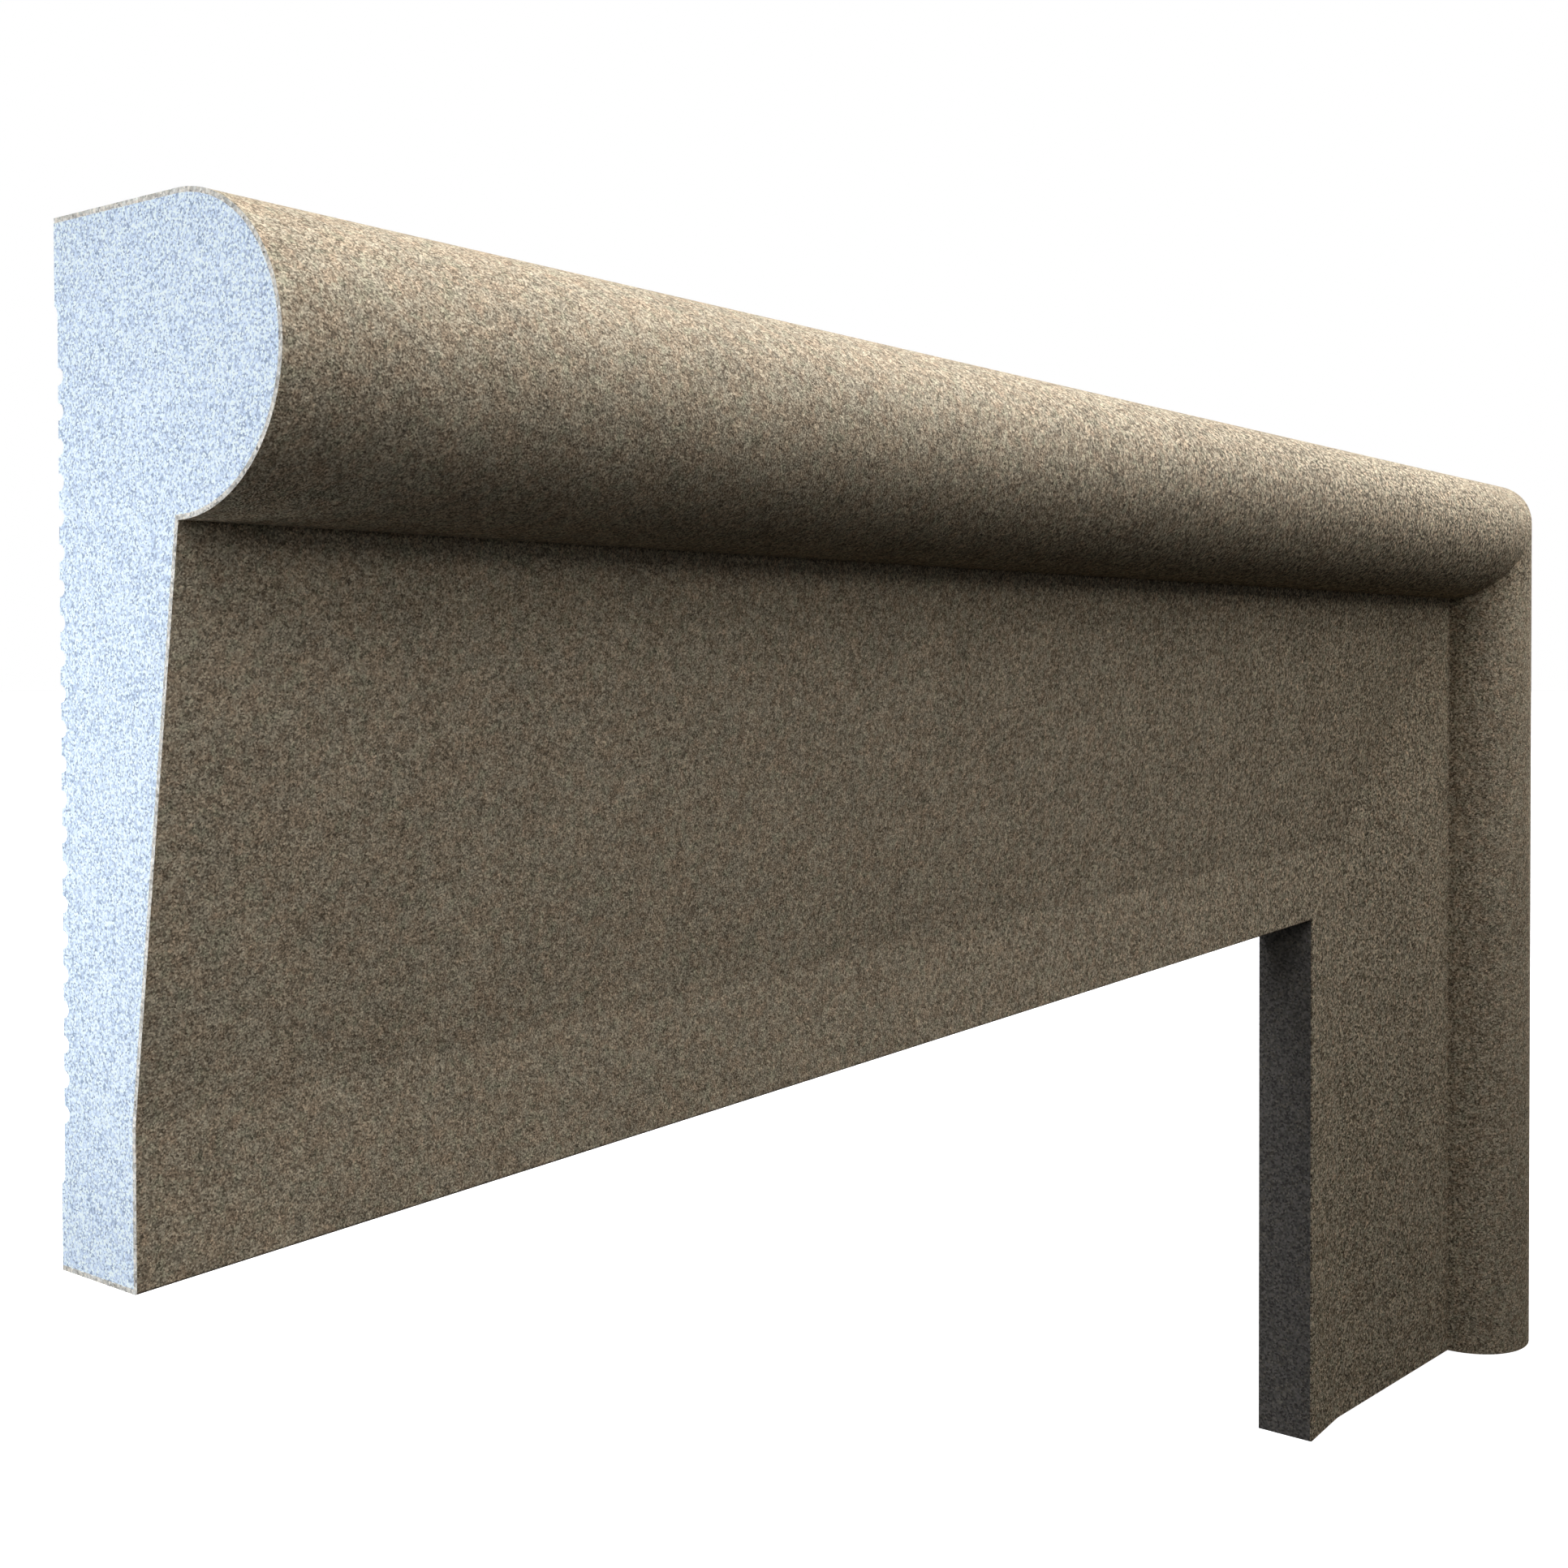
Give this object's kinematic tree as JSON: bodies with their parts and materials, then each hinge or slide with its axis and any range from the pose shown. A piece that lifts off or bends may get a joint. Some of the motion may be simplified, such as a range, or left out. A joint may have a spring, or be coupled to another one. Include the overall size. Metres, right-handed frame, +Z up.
{
  "type": "window surround corner moulding",
  "caption": "Mitred corner of a coated foam window surround: a header and a jamb with a half-round outer roll, sloped fascia, plain inner band and a keyed back.",
  "frame": {"origin": "corner of the window opening on the wall plane, where the header's underside, the jamb's reveal and the back meet", "axes": "+X along the header away from the opening, +Y into the wall, +Z up; the header runs to -X and the jamb to -Z"},
  "size_m": [1.165, 0.1015, 0.64],
  "materials": {
    "foam": "fused bead foam, cut faces",
    "glass_mesh": "open woven glass mesh",
    "base_coat": "fine cement mortar",
    "finish_coat": "sand-textured render, matte",
    "adhesive": "cured foam glue"
  },
  "bodies": {
    "root": {"header_foam_core": "foam", "jamb_foam_core": "foam", "header_glass_mesh": "glass_mesh", "jamb_glass_mesh": "glass_mesh", "header_base_coat": "base_coat", "jamb_base_coat": "base_coat", "header_finish_coat": "finish_coat", "jamb_finish_coat": "finish_coat", "mitre_adhesive": "adhesive", "mitre_joint_filler": "finish_coat"}
  },
  "joints": []
}
